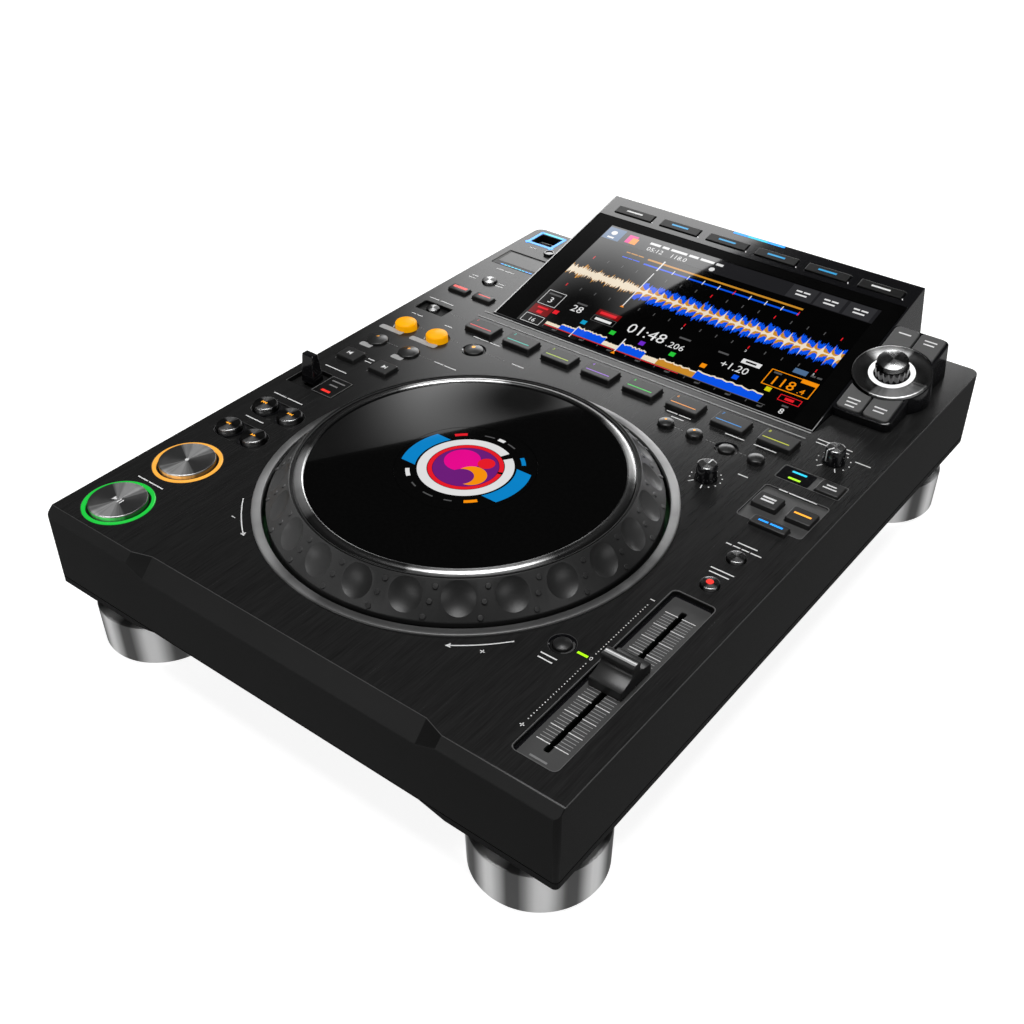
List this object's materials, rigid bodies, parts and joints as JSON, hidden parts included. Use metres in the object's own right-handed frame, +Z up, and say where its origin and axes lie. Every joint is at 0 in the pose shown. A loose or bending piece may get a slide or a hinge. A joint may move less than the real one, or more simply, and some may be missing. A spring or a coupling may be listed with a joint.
{
  "type": "tabletop media player for mixing music",
  "caption": "Tabletop media player for mixing music: jog wheel, tilted screen, tempo slider and rows of buttons on a shallow case with round feet.",
  "frame": {"origin": "on the surface that the player stands on, under the middle of the box round the whole player", "axes": "+X to the right of the person playing, +Y from the front edge to the screen, +Z up"},
  "size_m": [0.329, 0.4528, 0.1178],
  "materials": {
    "case_black": "black moulded case, deck with a faint brushed streak",
    "housing_black": "satin black moulded housing",
    "chassis_black": "black painted sheet",
    "board_green": "solder-masked board",
    "foot_silver": "satin turned metal",
    "trim_silver": "satin silver ring",
    "spun_metal": "spun dark metal cap",
    "key_black": "satin black key",
    "gloss_black": "gloss black",
    "amber_lens": "lit amber dome",
    "jog_black": "black wheel with a bright rim and gloss top",
    "jog_glass": "dark round display window",
    "screen_glass": "dark screen panel behind gloss glass"
  },
  "bodies": {
    "case": {"upper_case": "case_black", "bottom_plate": "chassis_black", "main_board": "board_green", "foot_front_left": "foot_silver", "foot_front_right": "foot_silver", "foot_rear_left": "foot_silver", "foot_rear_right": "foot_silver", "screen_housing": "housing_black", "screen_glass": "screen_glass", "screen_key_strip": "key_black", "selector_ring": "gloss_black", "jog_trim_ring": "trim_silver", "jog_display": "jog_glass"},
    "selector_key_front_left": {"selector_key_front_left": "key_black"},
    "selector_key_front_right": {"selector_key_front_right": "key_black"},
    "selector_key_rear_left": {"selector_key_rear_left": "key_black"},
    "selector_key_rear_right": {"selector_key_rear_right": "key_black"},
    "selector_knob": {"selector_knob": "gloss_black"},
    "play_button": {"play_button": "spun_metal"},
    "cue_button": {"cue_button": "spun_metal"},
    "search_back_button": {"search_back_button": "gloss_black"},
    "search_forward_button": {"search_forward_button": "gloss_black"},
    "track_back_button": {"track_back_button": "gloss_black"},
    "track_forward_button": {"track_forward_button": "gloss_black"},
    "loop_halve_button": {"loop_halve_button": "key_black"},
    "loop_double_button": {"loop_double_button": "key_black"},
    "loop_in_button": {"loop_in_button": "amber_lens"},
    "loop_out_button": {"loop_out_button": "amber_lens"},
    "loop_exit_button": {"loop_exit_button": "key_black"},
    "time_mode_button": {"time_mode_button": "gloss_black"},
    "media_stop_button": {"media_stop_button": "gloss_black"},
    "call_back_button": {"call_back_button": "key_black"},
    "call_forward_button": {"call_forward_button": "key_black"},
    "delete_button": {"delete_button": "key_black"},
    "memory_button": {"memory_button": "key_black"},
    "tempo_range_button": {"tempo_range_button": "gloss_black"},
    "pitch_lock_button": {"pitch_lock_button": "gloss_black"},
    "tempo_reset_button": {"tempo_reset_button": "key_black"},
    "jump_back_key": {"jump_back_key": "key_black"},
    "jump_forward_key": {"jump_forward_key": "key_black"},
    "quantise_key": {"quantise_key": "key_black"},
    "slip_key": {"slip_key": "key_black"},
    "jog_mode_key": {"jog_mode_key": "key_black"},
    "beat_sync_key": {"beat_sync_key": "key_black"},
    "master_key": {"master_key": "key_black"},
    "pitch_sync_key": {"pitch_sync_key": "key_black"},
    "pad_key_1": {"pad_key_1": "key_black"},
    "pad_key_2": {"pad_key_2": "key_black"},
    "pad_key_3": {"pad_key_3": "key_black"},
    "pad_key_4": {"pad_key_4": "key_black"},
    "pad_key_5": {"pad_key_5": "key_black"},
    "pad_key_6": {"pad_key_6": "key_black"},
    "pad_key_7": {"pad_key_7": "key_black"},
    "pad_key_8": {"pad_key_8": "key_black"},
    "jog_wheel": {"jog_wheel": "jog_black"},
    "tempo_slider": {"tempo_slider": "key_black"},
    "direction_lever": {"direction_lever": "key_black"},
    "jog_weight_knob": {"jog_weight_knob": "gloss_black"},
    "brake_speed_knob": {"brake_speed_knob": "gloss_black"},
    "card_door": {"card_door": "key_black"}
  },
  "joints": [
    {"name": "selector_key_front_left_press", "type": "slide", "parent": "case", "child": "selector_key_front_left", "axis": [0, -0.2292, 0.9734], "range_m": [-0.0005, 0], "stiffness_N_per_m": 400, "springref_m": 0.0005},
    {"name": "selector_key_front_right_press", "type": "slide", "parent": "case", "child": "selector_key_front_right", "axis": [0, -0.2292, 0.9734], "range_m": [-0.0005, 0], "stiffness_N_per_m": 400, "springref_m": 0.0005},
    {"name": "selector_key_rear_left_press", "type": "slide", "parent": "case", "child": "selector_key_rear_left", "axis": [0, -0.2292, 0.9734], "range_m": [-0.0005, 0], "stiffness_N_per_m": 400, "springref_m": 0.0005},
    {"name": "selector_key_rear_right_press", "type": "slide", "parent": "case", "child": "selector_key_rear_right", "axis": [0, -0.2292, 0.9734], "range_m": [-0.0005, 0], "stiffness_N_per_m": 400, "springref_m": 0.0005},
    {"name": "selector_knob_turn", "type": "hinge", "parent": "case", "child": "selector_knob", "pos_m": [0.1326, 0.13912, 0.09976], "axis": [0, -0.2292, 0.9734], "continuous": true},
    {"name": "play_button_press", "type": "slide", "parent": "case", "child": "play_button", "axis": [0, 0, 1], "range_m": [-0.0008, 0], "stiffness_N_per_m": 400, "springref_m": 0.0005},
    {"name": "cue_button_press", "type": "slide", "parent": "case", "child": "cue_button", "axis": [0, 0, 1], "range_m": [-0.0008, 0], "stiffness_N_per_m": 400, "springref_m": 0.0005},
    {"name": "search_back_button_press", "type": "slide", "parent": "case", "child": "search_back_button", "axis": [0, 0, 1], "range_m": [-0.0005, 0], "stiffness_N_per_m": 400, "springref_m": 0.0005},
    {"name": "search_forward_button_press", "type": "slide", "parent": "case", "child": "search_forward_button", "axis": [0, 0, 1], "range_m": [-0.0005, 0], "stiffness_N_per_m": 400, "springref_m": 0.0005},
    {"name": "track_back_button_press", "type": "slide", "parent": "case", "child": "track_back_button", "axis": [0, 0, 1], "range_m": [-0.0005, 0], "stiffness_N_per_m": 400, "springref_m": 0.0005},
    {"name": "track_forward_button_press", "type": "slide", "parent": "case", "child": "track_forward_button", "axis": [0, 0, 1], "range_m": [-0.0005, 0], "stiffness_N_per_m": 400, "springref_m": 0.0005},
    {"name": "loop_halve_button_press", "type": "slide", "parent": "case", "child": "loop_halve_button", "axis": [0, 0, 1], "range_m": [-0.0005, 0], "stiffness_N_per_m": 400, "springref_m": 0.0005},
    {"name": "loop_double_button_press", "type": "slide", "parent": "case", "child": "loop_double_button", "axis": [0, 0, 1], "range_m": [-0.0005, 0], "stiffness_N_per_m": 400, "springref_m": 0.0005},
    {"name": "loop_in_button_press", "type": "slide", "parent": "case", "child": "loop_in_button", "axis": [0, 0, 1], "range_m": [-0.0005, 0], "stiffness_N_per_m": 400, "springref_m": 0.0005},
    {"name": "loop_out_button_press", "type": "slide", "parent": "case", "child": "loop_out_button", "axis": [0, 0, 1], "range_m": [-0.0005, 0], "stiffness_N_per_m": 400, "springref_m": 0.0005},
    {"name": "loop_exit_button_press", "type": "slide", "parent": "case", "child": "loop_exit_button", "axis": [0, 0, 1], "range_m": [-0.0005, 0], "stiffness_N_per_m": 400, "springref_m": 0.0005},
    {"name": "time_mode_button_press", "type": "slide", "parent": "case", "child": "time_mode_button", "axis": [0, 0, 1], "range_m": [-0.0005, 0], "stiffness_N_per_m": 400, "springref_m": 0.0005},
    {"name": "media_stop_button_press", "type": "slide", "parent": "case", "child": "media_stop_button", "axis": [0, 0, 1], "range_m": [-0.0005, 0], "stiffness_N_per_m": 400, "springref_m": 0.0005},
    {"name": "call_back_button_press", "type": "slide", "parent": "case", "child": "call_back_button", "axis": [0, 0, 1], "range_m": [-0.0005, 0], "stiffness_N_per_m": 400, "springref_m": 0.0005},
    {"name": "call_forward_button_press", "type": "slide", "parent": "case", "child": "call_forward_button", "axis": [0, 0, 1], "range_m": [-0.0005, 0], "stiffness_N_per_m": 400, "springref_m": 0.0005},
    {"name": "delete_button_press", "type": "slide", "parent": "case", "child": "delete_button", "axis": [0, 0, 1], "range_m": [-0.0005, 0], "stiffness_N_per_m": 400, "springref_m": 0.0005},
    {"name": "memory_button_press", "type": "slide", "parent": "case", "child": "memory_button", "axis": [0, 0, 1], "range_m": [-0.0005, 0], "stiffness_N_per_m": 400, "springref_m": 0.0005},
    {"name": "tempo_range_button_press", "type": "slide", "parent": "case", "child": "tempo_range_button", "axis": [0, 0, 1], "range_m": [-0.0005, 0], "stiffness_N_per_m": 400, "springref_m": 0.0005},
    {"name": "pitch_lock_button_press", "type": "slide", "parent": "case", "child": "pitch_lock_button", "axis": [0, 0, 1], "range_m": [-0.0005, 0], "stiffness_N_per_m": 400, "springref_m": 0.0005},
    {"name": "tempo_reset_button_press", "type": "slide", "parent": "case", "child": "tempo_reset_button", "axis": [0, 0, 1], "range_m": [-0.0005, 0], "stiffness_N_per_m": 400, "springref_m": 0.0005},
    {"name": "jump_back_key_press", "type": "slide", "parent": "case", "child": "jump_back_key", "axis": [0, 0, 1], "range_m": [-0.0006, 0], "stiffness_N_per_m": 400, "springref_m": 0.0005},
    {"name": "jump_forward_key_press", "type": "slide", "parent": "case", "child": "jump_forward_key", "axis": [0, 0, 1], "range_m": [-0.0006, 0], "stiffness_N_per_m": 400, "springref_m": 0.0005},
    {"name": "quantise_key_press", "type": "slide", "parent": "case", "child": "quantise_key", "axis": [0, 0, 1], "range_m": [-0.0005, 0], "stiffness_N_per_m": 400, "springref_m": 0.0005},
    {"name": "slip_key_press", "type": "slide", "parent": "case", "child": "slip_key", "axis": [0, 0, 1], "range_m": [-0.0005, 0], "stiffness_N_per_m": 400, "springref_m": 0.0005},
    {"name": "jog_mode_key_press", "type": "slide", "parent": "case", "child": "jog_mode_key", "axis": [0, 0, 1], "range_m": [-0.0005, 0], "stiffness_N_per_m": 400, "springref_m": 0.0005},
    {"name": "beat_sync_key_press", "type": "slide", "parent": "case", "child": "beat_sync_key", "axis": [0, 0, 1], "range_m": [-0.0005, 0], "stiffness_N_per_m": 400, "springref_m": 0.0005},
    {"name": "master_key_press", "type": "slide", "parent": "case", "child": "master_key", "axis": [0, 0, 1], "range_m": [-0.0005, 0], "stiffness_N_per_m": 400, "springref_m": 0.0005},
    {"name": "pitch_sync_key_press", "type": "slide", "parent": "case", "child": "pitch_sync_key", "axis": [0, 0, 1], "range_m": [-0.0005, 0], "stiffness_N_per_m": 400, "springref_m": 0.0005},
    {"name": "pad_key_1_press", "type": "slide", "parent": "case", "child": "pad_key_1", "axis": [0, 0, 1], "range_m": [-0.0005, 0], "stiffness_N_per_m": 400, "springref_m": 0.0005},
    {"name": "pad_key_2_press", "type": "slide", "parent": "case", "child": "pad_key_2", "axis": [0, 0, 1], "range_m": [-0.0005, 0], "stiffness_N_per_m": 400, "springref_m": 0.0005},
    {"name": "pad_key_3_press", "type": "slide", "parent": "case", "child": "pad_key_3", "axis": [0, 0, 1], "range_m": [-0.0005, 0], "stiffness_N_per_m": 400, "springref_m": 0.0005},
    {"name": "pad_key_4_press", "type": "slide", "parent": "case", "child": "pad_key_4", "axis": [0, 0, 1], "range_m": [-0.0005, 0], "stiffness_N_per_m": 400, "springref_m": 0.0005},
    {"name": "pad_key_5_press", "type": "slide", "parent": "case", "child": "pad_key_5", "axis": [0, 0, 1], "range_m": [-0.0005, 0], "stiffness_N_per_m": 400, "springref_m": 0.0005},
    {"name": "pad_key_6_press", "type": "slide", "parent": "case", "child": "pad_key_6", "axis": [0, 0, 1], "range_m": [-0.0005, 0], "stiffness_N_per_m": 400, "springref_m": 0.0005},
    {"name": "pad_key_7_press", "type": "slide", "parent": "case", "child": "pad_key_7", "axis": [0, 0, 1], "range_m": [-0.0005, 0], "stiffness_N_per_m": 400, "springref_m": 0.0005},
    {"name": "pad_key_8_press", "type": "slide", "parent": "case", "child": "pad_key_8", "axis": [0, 0, 1], "range_m": [-0.0005, 0], "stiffness_N_per_m": 400, "springref_m": 0.0005},
    {"name": "jog_wheel_turn", "type": "hinge", "parent": "case", "child": "jog_wheel", "pos_m": [0, -0.08332, 0.085], "axis": [0, 0, 1], "continuous": true},
    {"name": "tempo_slider_slide", "type": "slide", "parent": "case", "child": "tempo_slider", "axis": [0, 1, 0], "range_m": [-0.05, 0.05]},
    {"name": "direction_lever_rock", "type": "hinge", "parent": "case", "child": "direction_lever", "pos_m": [-0.14608, -0.04984, 0.076], "axis": [1, 0, 0], "range_deg": [-14, 14]},
    {"name": "jog_weight_knob_turn", "type": "hinge", "parent": "case", "child": "jog_weight_knob", "pos_m": [0.09171, 0.00496, 0.085], "axis": [0, 0, 1], "range_deg": [-142, 142]},
    {"name": "brake_speed_knob_turn", "type": "hinge", "parent": "case", "child": "brake_speed_knob", "pos_m": [0.13843, 0.05995, 0.085], "axis": [0, 0, 1], "range_deg": [-300, 0]},
    {"name": "card_door_swing", "type": "hinge", "parent": "case", "child": "card_door", "pos_m": [-0.14064, 0.15624, 0.0838], "axis": [-1, 0, 0], "range_deg": [0, 95]}
  ]
}
